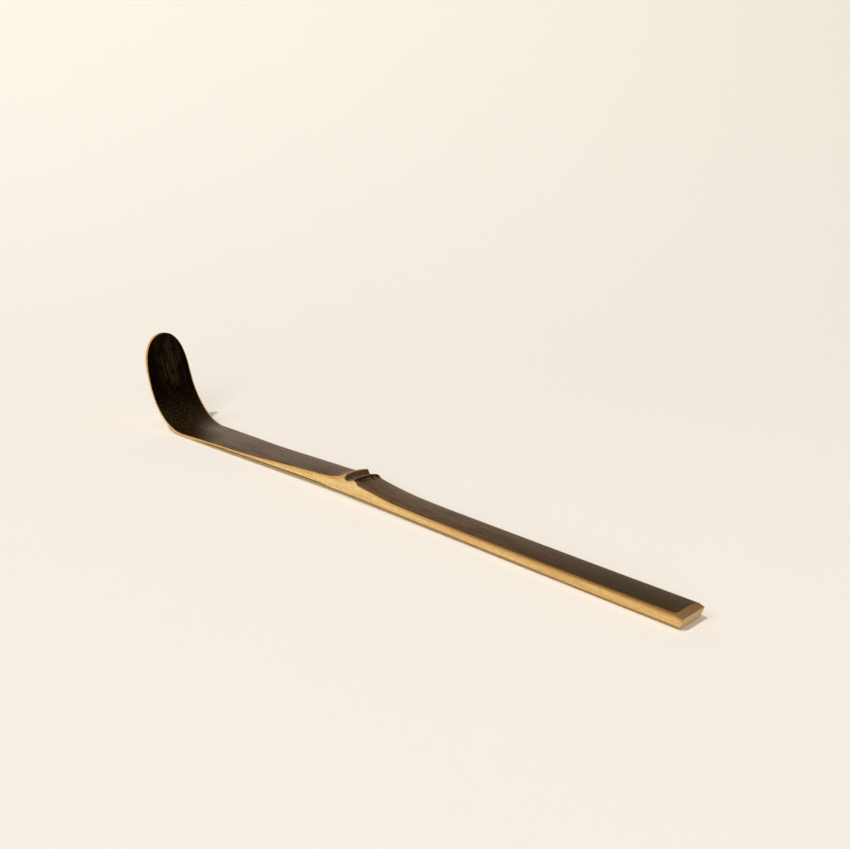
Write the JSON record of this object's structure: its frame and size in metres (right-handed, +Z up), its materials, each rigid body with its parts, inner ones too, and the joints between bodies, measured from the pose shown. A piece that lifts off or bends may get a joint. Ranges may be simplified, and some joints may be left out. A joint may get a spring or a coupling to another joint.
{
  "type": "tea scoop",
  "caption": "Slender scoop whittled from one strip of dark-skinned bamboo, with a raised node in the middle and a wide blade bent upwards to lift powdered tea.",
  "frame": {"origin": "centre of the footprint, on the plane the scoop lies on", "axes": "+X along the strip towards the square-cut tail, with the bent blade at -X; +Y across the width; +Z up, away from the surface it lies on"},
  "size_m": [0.1678, 0.0126, 0.0244],
  "materials": {
    "bamboo": "near-black smoked skin with a satin sheen on top; pale golden wood with fine straight fibres where the sides, tail and underside are cut"
  },
  "bodies": {
    "root": {"tea_scoop": "bamboo"}
  },
  "joints": []
}
